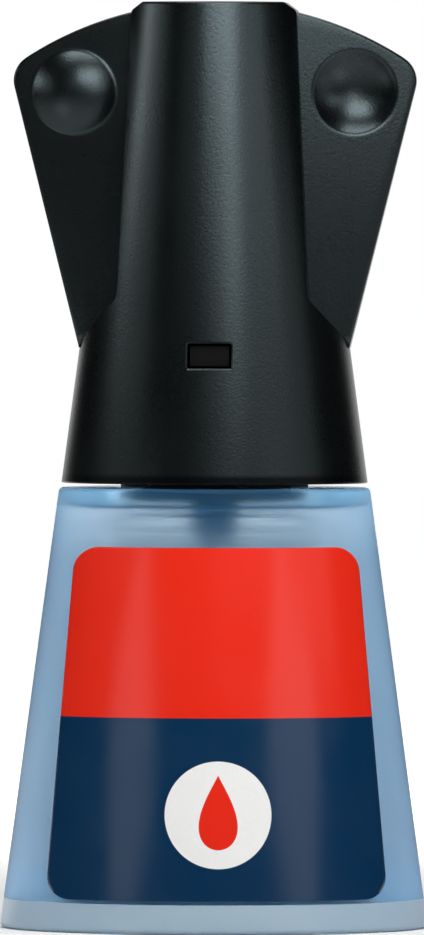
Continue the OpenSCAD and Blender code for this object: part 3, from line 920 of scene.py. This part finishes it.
for node, material in {
    "inner_bottle": natural_material(),
    "neck_wiper": moulded("wiper_white", colour(0.74, 0.74, 0.71), colour(0.80, 0.80, 0.77), 0.4,
                          grain=0.3, IOR=1.49, Transmission_Weight=0.2),
    "seal_liner": foam_material(),
    "inner_cap": moulded("inner_black", colour(0.0012, 0.0014, 0.0016),
                         colour(0.0020, 0.0023, 0.0026), 0.5, IOR=1.5, Specular_IOR_Level=0.15),
    "brush_stem": moulded("stem_pale", colour(0.74, 0.74, 0.70), colour(0.80, 0.80, 0.76), 0.34,
                          grain=0.3, IOR=1.3, Transmission_Weight=0.6),
    "tuft_staple": brass_material(),
}.items():
    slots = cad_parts[node].data.materials
    slots.clear()
    slots.append(material)


# Studio

scene = bpy.context.scene
scene.view_settings.view_transform = "Standard"


def background_rays(n, heading):
    """One for the rays that show the background: straight ones, mirrored ones that go straight
    back past the object, and those through frosted plastic that go anywhere behind it."""
    path = n.node("ShaderNodeLightPath").outputs
    ahead = n.node("ShaderNodeVectorMath", {"operation": "NORMALIZE"}, Vector=heading).outputs[0]
    back = n.node("ShaderNodeSeparateXYZ", Vector=ahead).outputs["Y"]
    total = path["Is Camera Ray"]
    for ray, band in (("Is Glossy Ray", MIRRORED_BAND), ("Is Transmission Ray", FROSTED_BAND)):
        share = n.math("MULTIPLY", path[ray], n.ramp(back, *band, blend="SMOOTHSTEP"))
        total = n.math("MAXIMUM", total, share)
    return total


def floor_material():
    """Near the object the lamps light the floor; further out it glows white by itself."""
    material = bpy.data.materials.new("floor_white")
    material.use_nodes = True
    n = Nodes(material.node_tree)
    n.tree.nodes.remove(n.tree.nodes["Principled BSDF"])
    matt = n.node("ShaderNodeBsdfDiffuse", Color=colour(FLOOR_GREY, FLOOR_GREY, FLOOR_GREY))
    place = n.node("ShaderNodeNewGeometry").outputs["Position"]
    away = n.node("ShaderNodeVectorMath", {"operation": "LENGTH"}, Vector=place).outputs["Value"]
    far = n.ramp(away, GLOW_NEAR * MM, GLOW_FAR * MM, blend="SMOOTHSTEP")
    glow = n.node("ShaderNodeEmission", Strength=n.math("MULTIPLY", background_rays(n, place), far))
    both = n.node("ShaderNodeAddShader")
    for socket, shader in zip(both.inputs, (matt, glow)):
        n.set(socket, shader.outputs[0])
    n.set(n.tree.nodes["Material Output"].inputs["Surface"], both.outputs[0])
    return material


floor_mesh = mesh_from("floor", *loft([circle(r, 0, ROUND) for r in FLOOR_RINGS]))
floor_mesh.materials.append(floor_material())
new_object("floor", floor_mesh)

world = bpy.data.worlds.new("studio")
scene.world = world
world.use_nodes = True
sky = Nodes(world.node_tree)
shown = background_rays(sky, sky.node("ShaderNodeTexCoord").outputs["Generated"])
backdrop = sky.tree.nodes["Background"].inputs
sky.set(backdrop["Color"], colour(1.0, 1.0, 1.0))
sky.set(backdrop["Strength"], sky.ramp(shown, 0.0, 1.0, WORLD_DIM, 1.0))


def point_at(made, at, aim, roll):
    """Puts a lamp or camera at a place, turned to a point and rolled by an angle."""
    made.location = at
    made.rotation_mode = "QUATERNION"
    turn = (aim - at).to_track_quat("-Z", "Y")
    made.rotation_quaternion = turn @ Quaternion((0, 0, 1), roll)


def softbox(name, azimuth, height, distance, aim_z, size, radiance, roll):
    """A soft lamp at an azimuth from the front, positive to the right; millimetres and degrees."""
    lamp = bpy.data.lights.new(name, "AREA")
    lamp.shape = "RECTANGLE"
    lamp.size, lamp.size_y = size[0] * MM, size[1] * MM
    lamp.energy = math.pi * lamp.size * lamp.size_y * radiance
    made = new_object(name, lamp)
    made.visible_camera = False
    a = math.radians(azimuth)
    at = Vector((distance * math.sin(a), -distance * math.cos(a), height)) * MM
    point_at(made, at, Vector((0, 0, aim_z)) * MM, math.radians(roll))


# Name, azimuth, height, distance, height aimed at, width and length, radiance, roll
for lamp in (
    # The broad streak on the cap, and the sheen of the wings
    ("key_high", 10, 120, 90, 55, (70, 50), 7.4, 0),
    ("key_side", 50, 105, 160, 55, (78, 40), 2.1, 0),
    ("key_wide", 20, 122, 160, 55, (120, 90), 0.65, 0),
    ("key_low", 17, 86, 90, 56, (22, 25), 2.8, 0),
    ("key_wing", 22, 75, 90, 75, (22, 14), 2.1, 0),
    ("card_left", -26, 92, 90, 55, (30, 30), 0.3, 0),
    ("side_low", 70, 60, 90, 55, (44, 50), 0.55, 0),
    # The narrow streak along the left of the cap
    ("rim_high", -90, 105, 160, 55, (40, 40), 3.5, 0),
    ("rim_mid", -80, 90, 90, 55, (44, 25), 1.0, 0),
    ("rim_low", -70, 90, 160, 55, (78, 44), 0.65, 0),
    # The streaks on the label, and the glow in the left of the shell
    ("strip_left", -44, 28, 75, 18, (30, 32), 1.0, 40),
    ("strip_right", 47, 28, 75, 18, (34, 32), 1.05, -40),
    ("glow_left", -142, 10, 150, 5, (74, 18), 1.7, 0),
    # The room
    ("overhead", 0, 500, 1, 0, (400, 400), 6.0, 0),
    ("behind", 180, 260, 260, 40, (200, 120), 1.5, 0),
):
    softbox(*lamp)

camera = new_object("camera", bpy.data.cameras.new("camera"))
scene.camera = camera
camera.data.lens = CAMERA_LENS
camera.data.clip_start, camera.data.clip_end = CAMERA_CLIP
sine, cosine = math.sin(CAMERA_AZIMUTH), math.cos(CAMERA_AZIMUTH)
stand = Vector((sine * CAMERA_DISTANCE, -cosine * CAMERA_DISTANCE, CAMERA_HEIGHT)) * MM
aim = Vector((cosine * CAMERA_AIM_SIDE, sine * CAMERA_AIM_SIDE, CAMERA_AIM_Z)) * MM
point_at(camera, stand, aim, CAMERA_ROLL)
